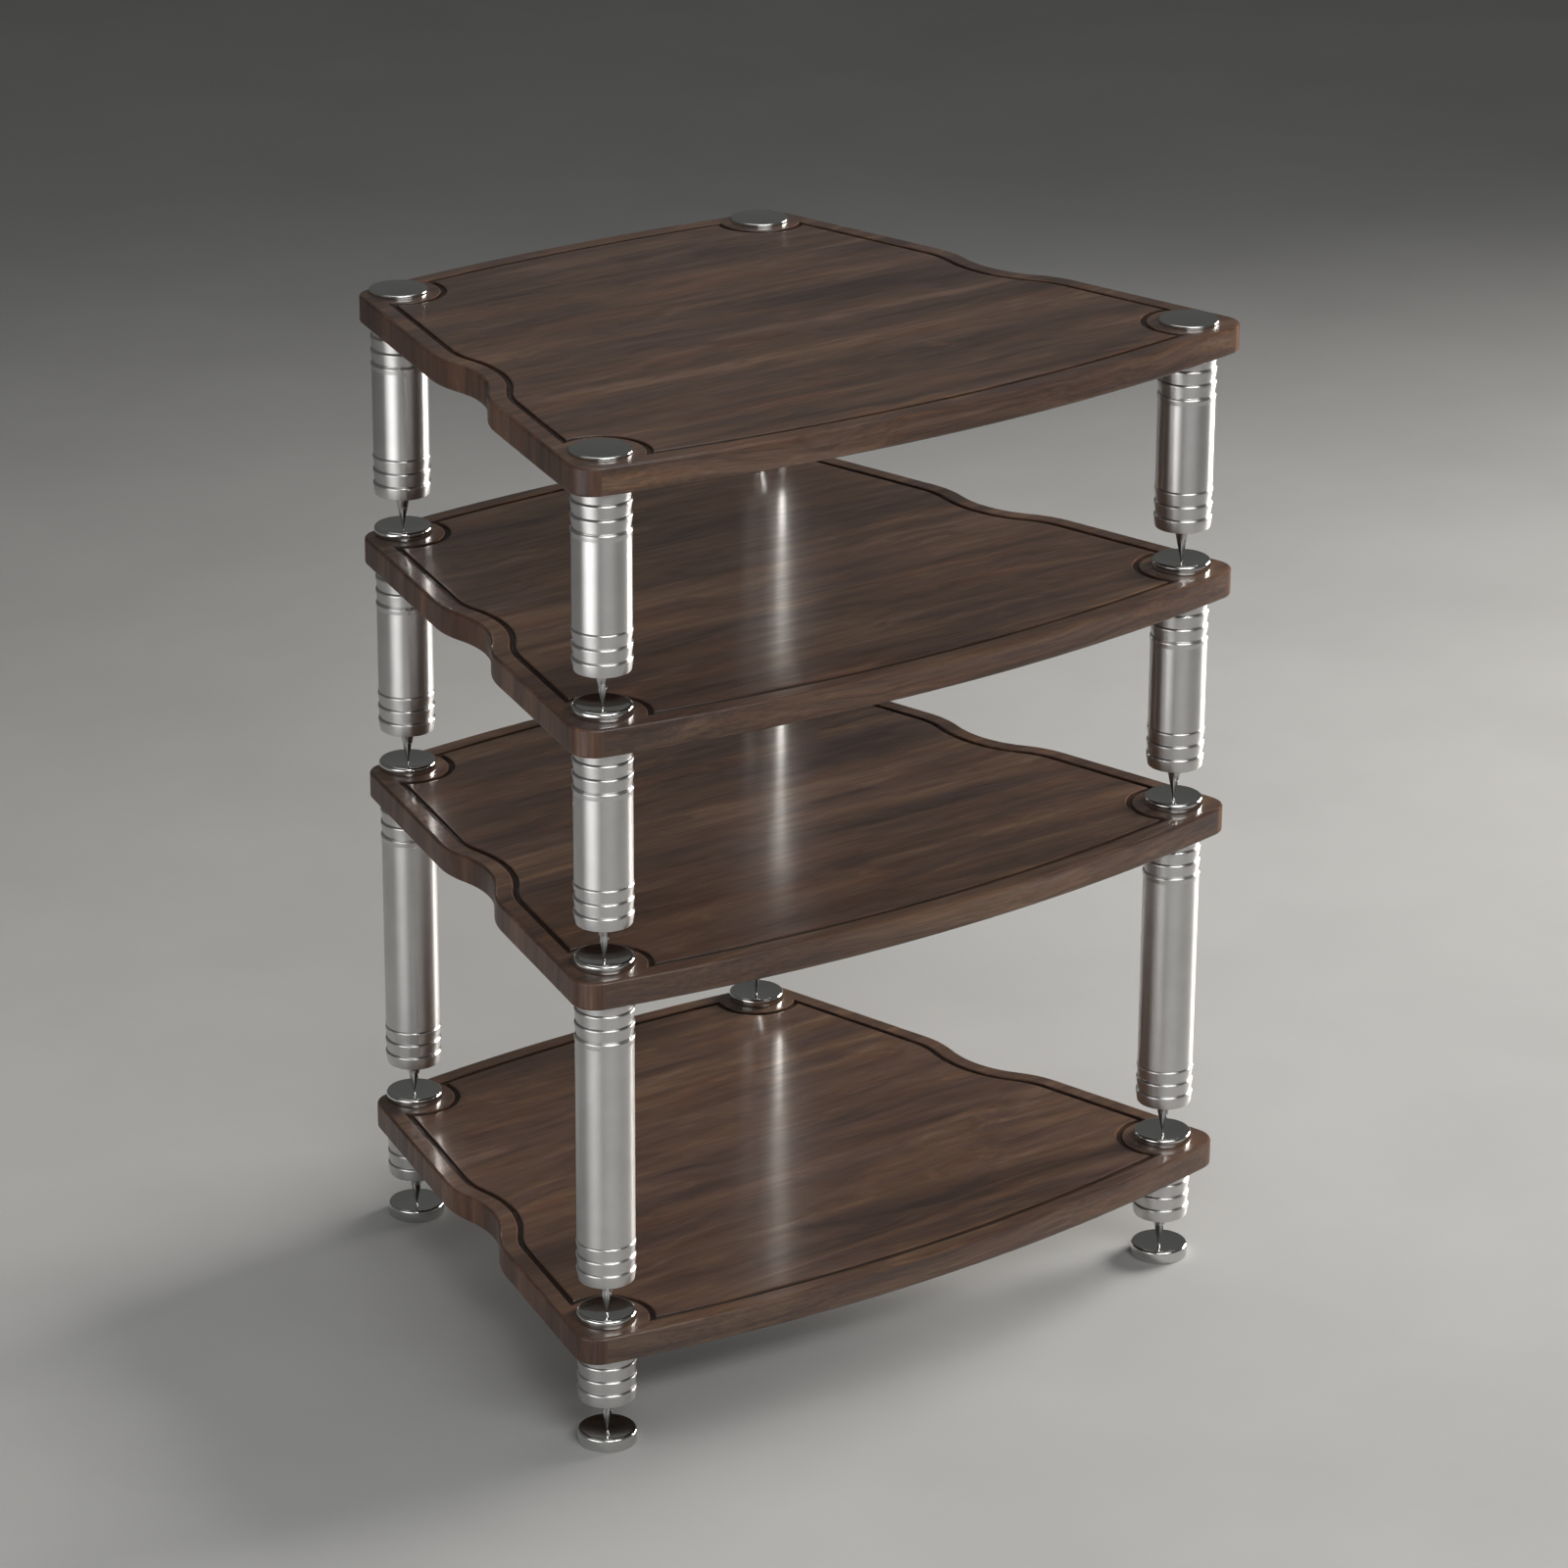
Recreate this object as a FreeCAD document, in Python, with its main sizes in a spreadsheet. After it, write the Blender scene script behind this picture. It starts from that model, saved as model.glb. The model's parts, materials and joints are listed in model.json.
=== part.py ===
"""Open four-shelf hi-fi rack: walnut shelves carried by turned metal columns.

Every column ends in a spike that stands in a dished metal cup on the shelf below,
or in a floor pad under the lowest columns. Millimetres, +Z up, front towards -Y.
The origin lies on the floor, below the middle of the shelves.
"""
import FreeCAD, Part
import math
import os

import Sketcher
from FreeCAD import Vector

doc = FreeCAD.newDocument("hifi_rack")

# Driving dimensions: name, value, meaning
DIMENSIONS = [
    ("front_post_span", 616.0, "between the axes of the two front columns"),
    ("back_post_span", 391.0, "between the axes of the two back columns"),
    ("post_row_depth", 471.0, "between the front row and the back row of columns"),
    ("front_margin", 68.0, "from the front row to the middle of the front edge"),
    ("back_margin", 36.0, "from the back row to the middle of the back edge"),
    ("side_margin", 36.0, "from a column axis out to the side edge"),
    ("bow_radius", 1650.0, "plan radius of the bowed front and back edges"),
    ("waist_from_front", 220.0, "from the front row back to the narrowest point of the waist"),
    ("waist_length", 156.0, "length of the waist along the side edge"),
    ("waist_depth", 17.0, "how far the waist curves in from the side edge"),
    ("corner_radius", 22.0, "vertical rounding of the shelf corners"),
    ("shelf_thickness", 25.0, "thickness of a shelf"),
    ("arris_radius", 2.5, "rounding of the top and bottom shelf edges"),
    ("channel_inset", 18.5, "from the shelf edge to the middle of the routed channel"),
    ("channel_width", 5.0, "width of the routed channel"),
    ("channel_depth", 2.5, "depth of the routed channel"),
    ("scallop_radius", 39.5, "radius of the channel's sweep round each column axis"),
    ("column_diameter", 50.0, "plain barrel of a column"),
    ("ring_diameter", 51.6, "widest point of a turned ring"),
    ("ring_root_diameter", 48.2, "narrowest point of a turned ring"),
    ("ring_pitch", 12.5, "height of one turned ring"),
    ("ring_bevel", 1.2, "height of the bevel above a ring's widest point"),
    ("short_column_length", 160.0, "columns of the two upper tiers"),
    ("long_column_length", 264.0, "columns of the tall middle tier"),
    ("foot_column_length", 50.0, "columns under the lowest shelf"),
    ("spike_base_diameter", 15.0, "spike where it meets the column"),
    ("spike_tip_diameter", 1.2, "blunted point of the spike"),
    ("spike_reach", 32.5, "from the column down to the point"),
    ("spike_base_clearance", 0.3, "round and above the spike in its recess in the column"),
    ("spike_stem_length", 20.0, "threaded stem inside the column"),
    ("spike_travel", 6.0, "how far a spike can be screwed in"),
    ("thread_diameter", 8.0, "stems and screws, drawn without their threads"),
    ("thread_clearance", 0.05, "radial play of a stem or screw in its column"),
    ("screw_depth", 22.0, "how far a shelf screw reaches into its column"),
    ("screw_head_diameter", 14.0, "head of a shelf screw"),
    ("screw_head_height", 5.0, "head of a shelf screw"),
    ("screw_head_cover", 1.0, "head of a shelf screw below the shelf top"),
    ("screw_clearance", 0.5, "radial play of a screw in its shelf"),
    ("bore_spare", 3.0, "bore left over beyond the end of a stem or screw"),
    ("cup_diameter", 51.5, "cups and floor pads"),
    ("dish_diameter", 46.0, "hollow in a cup or floor pad"),
    ("dish_depth", 3.0, "hollow in a cup or floor pad"),
    ("rim_radius", 2.4, "rounded rim of a cup or floor pad"),
    ("cup_height", 8.0, "cup on a shelf"),
    ("pad_height", 12.0, "pad on the floor"),
    ("tip_gap", 0.3, "between a spike's point and its dish"),
    ("cap_diameter", 52.0, "cap on the top shelf"),
    ("cap_height", 3.0, "cap on the top shelf"),
    ("cap_bevel", 0.8, "bevel of the cap's upper edge"),
]

sheet = doc.addObject("Spreadsheet::Sheet", "Sizes")
for row, (alias, value, meaning) in enumerate(DIMENSIONS, start=1):
    sheet.set(f"A{row}", alias)
    sheet.set(f"B{row}", str(value))
    sheet.set(f"C{row}", meaning)
    sheet.setAlias(f"B{row}", alias)
doc.recompute()


def size(expression):
    """Value in millimetres of an expression written in the sheet's aliases."""
    result = sheet.evalExpression(expression)
    return float(getattr(result, "Value", result))


# Places in plan, written as expressions in the sheet's aliases
FRONT_ROW = "-(Sizes.post_row_depth + Sizes.back_margin - Sizes.front_margin) / 2"
BACK_ROW = "(Sizes.post_row_depth + Sizes.front_margin - Sizes.back_margin) / 2"
POSTS = {
    "fl": ("-Sizes.front_post_span / 2", FRONT_ROW),
    "fr": ("Sizes.front_post_span / 2", FRONT_ROW),
    "bl": ("-Sizes.back_post_span / 2", BACK_ROW),
    "br": ("Sizes.back_post_span / 2", BACK_ROW),
}

# Heights, tier by tier: column 1 stands under the lowest shelf
COLUMN_LENGTH = {
    1: "Sizes.foot_column_length",
    2: "Sizes.long_column_length",
    3: "Sizes.short_column_length",
    4: "Sizes.short_column_length",
}
TIERS = sorted(COLUMN_LENGTH)
seat_z = {1: "0"}
tip_z = {}
column_z = {}
shelf_z = {}
for tier in TIERS:
    seat_height = "Sizes.pad_height" if tier == 1 else "Sizes.cup_height"
    tip_z[tier] = f"{seat_z[tier]} + {seat_height} - Sizes.dish_depth + Sizes.tip_gap"
    column_z[tier] = f"{tip_z[tier]} + Sizes.spike_reach"
    shelf_z[tier] = f"{column_z[tier]} + {COLUMN_LENGTH[tier]}"
    seat_z[tier + 1] = f"{shelf_z[tier]} + Sizes.shelf_thickness"


def place(item, x, y, z):
    """Tie an object's position to expressions."""
    item.setExpression("Placement.Base.x", x)
    item.setExpression("Placement.Base.y", y)
    item.setExpression("Placement.Base.z", z)


def origin_feature(body, role):
    return next(f for f in body.Origin.OriginFeatures if f.Role == role)


def new_body(label):
    body = doc.addObject("PartDesign::Body", label)
    body.Label = label
    return body


def new_sketch(body, name, plane, height=None):
    """Empty sketch on one of the body's own planes, raised by an expression if wanted."""
    sketch = body.newObject("Sketcher::SketchObject", name)
    sketch.AttachmentSupport = (origin_feature(body, plane), [""])
    sketch.MapMode = "FlatFace"
    if height:
        sketch.setExpression("AttachmentOffset.Base.z", height)
    return sketch


def arc_between(start, end, radius):
    """Minor arc from start to end; a positive radius bulges to the right of the way there."""
    chord = end - start
    half = chord.Length / 2
    rise = math.sqrt(max(radius * radius - half * half, 0.0))
    left = Vector(-chord.y, chord.x, 0).normalize()
    centre = (start + end) / 2 + left * math.copysign(rise, radius)
    circle = Part.Circle(centre, Vector(0, 0, 1), abs(radius))
    first, last = (start, end) if radius > 0 else (end, start)
    angles = [math.atan2(point.y - centre.y, point.x - centre.x) for point in (first, last)]
    return Part.ArcOfCircle(circle, *angles)


def start_vertex(radius):
    """Sketcher numbers an arc's ends counter-clockwise: 1 where it starts, 2 where it ends."""
    return 2 if radius is not None and radius < 0 else 1


def draw_bound_profile(sketch, points, arcs=None):
    """Closed profile whose corners are pairs of expressions; arcs gives signed radii by side."""
    arcs = arcs or {}
    nodes = []
    for index, (x, y) in enumerate(points):
        radius = arcs[index][0] * size(arcs[index][1]) if index in arcs else None
        nodes.append((Vector(size(x), size(y), 0), radius))
    constraints = draw_loop(sketch, nodes)
    for index, (x, y) in enumerate(points):
        sketch.setExpression(f"Constraints[{constraints[index, 'DistanceX']}]", x)
        sketch.setExpression(f"Constraints[{constraints[index, 'DistanceY']}]", y)
        if index in arcs:
            sketch.setExpression(f"Constraints[{constraints[index, 'Radius']}]", arcs[index][1])


def draw_loop(sketch, nodes):
    """Draw a closed loop of (point, signed radius to the next point or None).

    Returns the number of each dimension in the sketch by node and kind.
    """
    first = sketch.GeometryCount
    count = len(nodes)
    for index, (point, radius) in enumerate(nodes):
        following = nodes[(index + 1) % count][0]
        if radius is None:
            edge = Part.LineSegment(point, following)
        else:
            edge = arc_between(point, following, radius)
        sketch.addGeometry(edge, False)
    constraints = []
    numbers = {}
    for index, (point, radius) in enumerate(nodes):
        edge = first + index
        start = start_vertex(radius)
        following = (index + 1) % count
        next_start = start_vertex(nodes[following][1])
        constraints.append(
            Sketcher.Constraint("Coincident", edge, 3 - start, first + following, next_start)
        )
        for kind, distance in (("DistanceX", point.x), ("DistanceY", point.y)):
            numbers[index, kind] = sketch.ConstraintCount + len(constraints)
            constraints.append(Sketcher.Constraint(kind, -1, 1, edge, start, distance))
        if radius is not None:
            numbers[index, "Radius"] = sketch.ConstraintCount + len(constraints)
            constraints.append(Sketcher.Constraint("Radius", edge, abs(radius)))
    sketch.addConstraint(constraints)
    return numbers


def turn(body, name, points, arcs=None, height=None):
    """Revolve a profile drawn in the XZ plane about the body's Z axis."""
    sketch = new_sketch(body, f"{name}_profile", "XZ_Plane")
    if height:
        sketch.setExpression("AttachmentOffset.Base.y", height)
    draw_bound_profile(sketch, points, arcs)
    feature = body.newObject("PartDesign::Revolution", name)
    feature.Profile = (sketch, [""])
    feature.ReferenceAxis = (sketch, ["V_Axis"])
    feature.Angle = 360
    return feature


def rod(body, name, radius, length, height="0", cut=False):
    """Upright cylinder added to, or bored out of, a body."""
    kind = "PartDesign::SubtractiveCylinder" if cut else "PartDesign::AdditiveCylinder"
    cylinder = body.newObject(kind, name)
    cylinder.AttachmentSupport = (origin_feature(body, "XY_Plane"), [""])
    cylinder.MapMode = "FlatFace"
    cylinder.setExpression("Radius", radius)
    cylinder.setExpression("Height", length)
    cylinder.setExpression("AttachmentOffset.Base.z", height)
    return cylinder


def repeat_up(body, name, feature, count, pitch):
    """Repeat a feature upwards at an even pitch."""
    pattern = body.newObject("PartDesign::LinearPattern", name)
    pattern.Originals = [feature]
    pattern.Direction = (origin_feature(body, "Z_Axis"), [""])
    pattern.Occurrences = count
    pattern.setExpression("Length", f"{pitch} * {count - 1}")
    body.Tip = pattern
    return pattern


# Columns

RINGS_PER_END = 3
THREAD_BORE = "Sizes.thread_diameter / 2 + Sizes.thread_clearance"


def ring_row(body, name, count, height):
    """Turned rings that flare upwards and bevel back in at the top, from a height upwards."""
    root = "Sizes.ring_root_diameter / 2"
    flare = [
        ("0", "0"),
        (root, "0"),
        ("Sizes.ring_diameter / 2", "Sizes.ring_pitch - Sizes.ring_bevel"),
        (root, "Sizes.ring_pitch"),
        ("0", "Sizes.ring_pitch"),
    ]
    ring = turn(body, name, flare, height=height)
    doc.recompute()
    return repeat_up(body, f"{name}_row", ring, count, "Sizes.ring_pitch")


def column(tier, corner):
    body = new_body(f"column_{tier}_{corner}")
    length = COLUMN_LENGTH[tier]
    rod(body, "core", "Sizes.ring_root_diameter / 2", length)
    if tier == 1:
        # A foot is all rings from end to end
        rings = round(size(length) / size("Sizes.ring_pitch"))
        doc.recompute()
        ring_row(body, "rings", rings, "0")
    else:
        # The barrel lies between two bands of rings, and its own upper end flares like a ring
        band = f"Sizes.ring_pitch * {RINGS_PER_END}"
        rod(body, "barrel", "Sizes.column_diameter / 2", f"{length} - 2 * {band}", band)
        doc.recompute()
        ring_row(body, "lower_rings", RINGS_PER_END, "0")
        upper_band = f"{length} - Sizes.ring_pitch * {RINGS_PER_END + 1}"
        ring_row(body, "upper_rings", RINGS_PER_END + 1, upper_band)
    stem_bore = "Sizes.spike_stem_length + Sizes.spike_travel + Sizes.bore_spare"
    screw_bore = "Sizes.screw_depth + Sizes.bore_spare"
    recess_radius = "Sizes.spike_base_diameter / 2 + Sizes.spike_base_clearance"
    recess_depth = "Sizes.spike_travel + Sizes.spike_base_clearance"
    rod(body, "spike_bore", THREAD_BORE, stem_bore, cut=True)
    rod(body, "spike_recess", recess_radius, recess_depth, cut=True)
    rod(body, "screw_bore", THREAD_BORE, screw_bore, f"{length} - ({screw_bore})", cut=True)
    place(body, *POSTS[corner], column_z[tier])
    return body


# Spikes, with the point at the body's own origin


def spike(tier, corner):
    body = new_body(f"spike_{tier}_{corner}")
    stem_radius = "Sizes.thread_diameter / 2"
    stem_top = "Sizes.spike_reach + Sizes.spike_stem_length"
    turn(
        body,
        "cone",
        [
            ("0", "0"),
            ("Sizes.spike_tip_diameter / 2", "0"),
            ("Sizes.spike_base_diameter / 2", "Sizes.spike_reach"),
            (stem_radius, "Sizes.spike_reach"),
            (stem_radius, stem_top),
            ("0", stem_top),
        ],
    )
    place(body, *POSTS[corner], tip_z[tier])
    return body


# Cups and floor pads: a rounded rim round a shallow dish


def dished_disc(label, height, corner, z):
    body = new_body(label)
    outer = "Sizes.cup_diameter / 2"
    dish = "Sizes.dish_diameter / 2"
    dish_sphere = f"(({dish}) ^ 2 + Sizes.dish_depth ^ 2) / (2 * Sizes.dish_depth)"
    turn(
        body,
        "disc",
        [
            ("0", "0"),
            (outer, "0"),
            (outer, f"{height} - Sizes.rim_radius"),
            (f"{outer} - Sizes.rim_radius", height),
            (dish, height),
            ("0", f"{height} - Sizes.dish_depth"),
        ],
        arcs={2: (1, "Sizes.rim_radius"), 4: (-1, dish_sphere)},
    )
    place(body, *POSTS[corner], z)
    return body


def cap(corner):
    body = new_body(f"cap_{corner}")
    outer = "Sizes.cap_diameter / 2"
    turn(
        body,
        "disc",
        [
            ("0", "0"),
            (outer, "0"),
            (outer, "Sizes.cap_height - Sizes.cap_bevel"),
            (f"{outer} - Sizes.cap_bevel", "Sizes.cap_height"),
            ("0", "Sizes.cap_height"),
        ],
    )
    place(body, *POSTS[corner], seat_z[5])
    return body


# Shelf screws: one below each cup or cap, four to a shelf


def shelf_screws(tier):
    head_top = f"{seat_z[tier + 1]} - Sizes.screw_head_cover"
    head_bottom = f"{head_top} - Sizes.screw_head_height"
    shank_bottom = f"{shelf_z[tier]} - Sizes.screw_depth"
    screws = []
    for corner, (x, y) in POSTS.items():
        head = doc.addObject("Part::Cylinder", f"screw_head_{tier}_{corner}")
        head.setExpression("Radius", "Sizes.screw_head_diameter / 2")
        head.setExpression("Height", "Sizes.screw_head_height")
        place(head, x, y, head_bottom)
        shank = doc.addObject("Part::Cylinder", f"screw_shank_{tier}_{corner}")
        shank.setExpression("Radius", "Sizes.thread_diameter / 2")
        shank.setExpression("Height", f"{head_bottom} - ({shank_bottom})")
        place(shank, x, y, shank_bottom)
        screw = doc.addObject("Part::Fuse", f"screw_{tier}_{corner}")
        screw.Base = shank
        screw.Tool = head
        screws.append(screw)
    group = doc.addObject("Part::Compound", f"screws_{tier}")
    group.Links = screws
    group.Label = f"screws_{tier}"
    return group


# Shelf outline: straight sides with a waist, bowed front and back


def line_circle(start, direction, centre, radius, far):
    """Point where a line from start meets a circle: the far one along the line, or the near one."""
    to_centre = centre - start
    along = to_centre.dot(direction)
    across2 = to_centre.dot(to_centre) - along * along
    half = math.sqrt(radius * radius - across2)
    return start + direction * (along + half if far else along - half)


def shelf_plan():
    """Lines and centres of the shelf's right-hand half, read from the sheet."""
    front_post = Vector(size(POSTS["fr"][0]), size(POSTS["fr"][1]), 0)
    back_post = Vector(size(POSTS["br"][0]), size(POSTS["br"][1]), 0)
    bow = size("Sizes.bow_radius")
    along = (back_post - front_post).normalize()
    outward = Vector(along.y, -along.x, 0)
    front_edge = front_post.y - size("Sizes.front_margin")
    back_edge = back_post.y + size("Sizes.back_margin")
    waist_scale = 1 / along.y
    return {
        "front_post": front_post,
        "back_post": back_post,
        "along": along,
        "outward": outward,
        "front_bow": Vector(0, front_edge + bow, 0),
        "back_bow": Vector(0, back_edge - bow, 0),
        "waist": front_post + along * size("Sizes.waist_from_front") * waist_scale,
    }


def side_path(plan, inset):
    """Right side from front to back at an inset from the edge: the straight side and its waist.

    Returns the side line's start, and the waist's four points with its signed radii.
    """
    along, outward = plan["along"], plan["outward"]
    offset = size("Sizes.side_margin") - inset
    half = size("Sizes.waist_length") / 2
    depth = size("Sizes.waist_depth")
    # Two convex arcs and one concave arc of equal radius meet tangentially at the edge itself
    radius = (half * half + depth * depth) / (4 * depth)
    sweep = math.asin(half / (2 * radius))
    convex = radius - inset
    concave = radius + inset
    middle = plan["waist"] + outward * offset
    reach = math.sin(sweep)
    drop = 1 - math.cos(sweep)
    points = [
        middle - along * half,
        middle - along * (half - convex * reach) - outward * convex * drop,
        middle + along * (half - convex * reach) - outward * convex * drop,
        middle + along * half,
    ]
    radii = [convex, -concave, convex]
    start = plan["front_post"] + outward * offset
    return start, points, radii


def mirrored(point):
    return Vector(-point.x, point.y, 0)


def shelf_outline():
    """Shelf edge with sharp corners, counter-clockwise from the front left."""
    plan = shelf_plan()
    bow = size("Sizes.bow_radius")
    start, waist, radii = side_path(plan, 0)
    front = line_circle(start, plan["along"], plan["front_bow"], bow, far=False)
    back = line_circle(start, plan["along"], plan["back_bow"], bow, far=True)
    right = [(front, None)] + list(zip(waist, radii + [None]))
    left = [(mirrored(waist[3]), radii[2]), (mirrored(waist[2]), radii[1])]
    left += [(mirrored(waist[1]), radii[0]), (mirrored(waist[0]), None)]
    return [(mirrored(front), bow)] + right + [(back, bow), (mirrored(back), None)] + left


def circle_circle(centre_a, radius_a, centre_b, radius_b, towards):
    """Crossing point of two circles that lies nearer to a given point."""
    gap = centre_b - centre_a
    reach = gap.Length
    along = (radius_a**2 - radius_b**2 + reach**2) / (2 * reach)
    across = math.sqrt(radius_a**2 - along**2)
    unit = gap / reach
    normal = Vector(-unit.y, unit.x, 0)
    crossings = [centre_a + unit * along + normal * side * across for side in (1, -1)]
    return min(crossings, key=lambda point: (point - towards).Length)


def channel_edge(inset, scallop):
    """One wall of the channel: parallel to the edge, swept round the columns to sharp cusps."""
    plan = shelf_plan()
    bow = size("Sizes.bow_radius") - inset
    along = plan["along"]
    start, waist, radii = side_path(plan, inset)
    posts = plan["front_post"], plan["back_post"]
    middle_of_front = Vector(0, plan["front_post"].y, 0)
    middle_of_back = Vector(0, plan["back_post"].y, 0)
    front_cusp = circle_circle(plan["front_bow"], bow, posts[0], scallop, middle_of_front)
    back_cusp = circle_circle(plan["back_bow"], bow, posts[1], scallop, middle_of_back)
    side_front = line_circle(start, along, posts[0], scallop, far=True)
    side_back = line_circle(start, along, posts[1], scallop, far=False)
    right = [(front_cusp, -scallop), (side_front, None)] + list(zip(waist, radii + [None]))
    right += [(side_back, -scallop), (back_cusp, bow)]
    left = [(mirrored(back_cusp), -scallop), (mirrored(side_back), None)]
    left += [(mirrored(waist[3]), radii[2]), (mirrored(waist[2]), radii[1])]
    left += [(mirrored(waist[1]), radii[0]), (mirrored(waist[0]), None)]
    left += [(mirrored(side_front), -scallop)]
    return [(mirrored(front_cusp), bow)] + right + left


def corner_edges(shape):
    """Names of the four vertical edges at the sharp corners of the blank."""
    thickness = size("Sizes.shelf_thickness")
    waist_reach = size("Sizes.post_row_depth") / 2
    names = []
    for index, edge in enumerate(shape.Edges, start=1):
        upright = abs(edge.BoundBox.ZLength - thickness) < 0.01
        if upright and abs(edge.CenterOfMass.y) > waist_reach - size("Sizes.back_margin"):
            names.append(f"Edge{index}")
    return names


def shelf(tier):
    body = new_body(f"shelf_{tier}")
    outline = new_sketch(body, "outline", "XY_Plane")
    draw_loop(outline, shelf_outline())
    blank = body.newObject("PartDesign::Pad", "blank")
    blank.Profile = (outline, [""])
    blank.setExpression("Length", "Sizes.shelf_thickness")
    doc.recompute()

    corners = body.newObject("PartDesign::Fillet", "corners")
    corners.Base = (blank, corner_edges(blank.Shape))
    corners.setExpression("Radius", "Sizes.corner_radius")
    doc.recompute()

    arrises = body.newObject("PartDesign::Fillet", "arrises")
    flat = [f"Face{i}" for i, f in enumerate(corners.Shape.Faces, start=1) if face_is_level(f)]
    arrises.Base = (corners, flat)
    arrises.setExpression("Radius", "Sizes.arris_radius")
    doc.recompute()

    channel = new_sketch(body, "channel_walls", "XY_Plane", "Sizes.shelf_thickness")
    half_width = size("Sizes.channel_width / 2")
    inset = size("Sizes.channel_inset")
    scallop = size("Sizes.scallop_radius")
    draw_loop(channel, channel_edge(inset - half_width, scallop - half_width))
    draw_loop(channel, channel_edge(inset + half_width, scallop + half_width))
    routed = body.newObject("PartDesign::Pocket", "routed_channel")
    routed.Profile = (channel, [""])
    routed.setExpression("Length", "Sizes.channel_depth")
    doc.recompute()

    holes = new_sketch(body, "screw_holes_plan", "XY_Plane", "Sizes.shelf_thickness")
    draw_post_circles(holes, "Sizes.thread_diameter / 2 + Sizes.screw_clearance")
    drilled = body.newObject("PartDesign::Pocket", "screw_holes")
    drilled.Profile = (holes, [""])
    drilled.Type = "ThroughAll"
    heads = new_sketch(body, "screw_heads_plan", "XY_Plane", "Sizes.shelf_thickness")
    draw_post_circles(heads, "Sizes.screw_head_diameter / 2 + Sizes.screw_clearance")
    sunk = body.newObject("PartDesign::Pocket", "screw_heads")
    sunk.Profile = (heads, [""])
    sunk.setExpression("Length", "Sizes.screw_head_cover + Sizes.screw_head_height")
    body.setExpression("Placement.Base.z", shelf_z[tier])
    return body


def face_is_level(face):
    return abs(abs(face.normalAt(0, 0).z) - 1) < 1e-6


def draw_post_circles(sketch, radius):
    """Circle of a bound radius on each column axis."""
    for index, (x, y) in enumerate(POSTS.values()):
        centre = Vector(size(x), size(y), 0)
        sketch.addGeometry(Part.Circle(centre, Vector(0, 0, 1), size(radius)), False)
        for kind, expression in (("DistanceX", x), ("DistanceY", y)):
            constraint = sketch.addConstraint(
                Sketcher.Constraint(kind, -1, 1, index, 3, size(expression))
            )
            sketch.setExpression(f"Constraints[{constraint}]", expression)
        constraint = sketch.addConstraint(Sketcher.Constraint("Radius", index, size(radius)))
        sketch.setExpression(f"Constraints[{constraint}]", radius)


# Assembly

parts = []
for tier in TIERS:
    parts.append(shelf(tier))
    parts.append(shelf_screws(tier))
    for corner in POSTS:
        parts.append(column(tier, corner))
        parts.append(spike(tier, corner))
        if tier == 1:
            parts.append(dished_disc(f"pad_{corner}", "Sizes.pad_height", corner, seat_z[1]))
        else:
            cup_label = f"cup_{tier}_{corner}"
            parts.append(dished_disc(cup_label, "Sizes.cup_height", corner, seat_z[tier]))
for corner in POSTS:
    parts.append(cap(corner))
doc.recompute()

# Check every feature, then write one STEP file for each piece

for item in doc.Objects:
    for state in item.State:
        if state in ("Invalid", "Error"):
            raise RuntimeError(f"{item.Label}: {state}")
for item in parts:
    if item.Shape.isNull() or not item.Shape.isValid():
        raise RuntimeError(f"{item.Label}: no valid shape")

os.makedirs("parts", exist_ok=True)
for item in parts:
    item.Shape.exportStep(f"parts/{item.Label}.step")
    print(item.Label, len(item.Shape.Solids), round(item.Shape.Volume / 1000, 2), "cm3")
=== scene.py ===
"""Open hi-fi rack: walnut shelves on turned columns, in a plain studio. Metres, +Z up."""
import json
import math

import bpy
from mathutils import Euler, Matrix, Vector
from mathutils.geometry import tessellate_polygon

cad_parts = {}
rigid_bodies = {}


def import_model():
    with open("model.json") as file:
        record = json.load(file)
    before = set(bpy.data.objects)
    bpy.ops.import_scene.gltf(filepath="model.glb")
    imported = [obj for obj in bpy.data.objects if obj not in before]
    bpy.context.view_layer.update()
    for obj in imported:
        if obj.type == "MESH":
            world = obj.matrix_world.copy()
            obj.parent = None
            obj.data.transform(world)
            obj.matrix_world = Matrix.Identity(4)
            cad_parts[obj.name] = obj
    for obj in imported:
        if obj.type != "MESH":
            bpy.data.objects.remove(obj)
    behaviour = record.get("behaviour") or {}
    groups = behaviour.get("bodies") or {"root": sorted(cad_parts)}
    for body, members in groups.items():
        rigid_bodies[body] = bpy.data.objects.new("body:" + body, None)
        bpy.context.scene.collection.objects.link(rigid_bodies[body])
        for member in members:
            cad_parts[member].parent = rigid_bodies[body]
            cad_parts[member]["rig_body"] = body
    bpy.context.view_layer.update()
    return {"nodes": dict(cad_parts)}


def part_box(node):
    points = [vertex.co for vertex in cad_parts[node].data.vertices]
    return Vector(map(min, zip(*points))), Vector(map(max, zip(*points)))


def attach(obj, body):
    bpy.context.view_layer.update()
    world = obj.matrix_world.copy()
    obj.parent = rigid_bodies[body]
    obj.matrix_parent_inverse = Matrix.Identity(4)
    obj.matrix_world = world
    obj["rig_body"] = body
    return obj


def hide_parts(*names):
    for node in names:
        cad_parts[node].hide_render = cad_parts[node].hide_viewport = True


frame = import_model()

CAD = frame["nodes"]
CORNERS = ("fl", "fr", "bl", "br")
TIERS = (1, 2, 3, 4)
MM = 0.001
SHARP_EDGE = math.radians(28)


# Shader helpers


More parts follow.
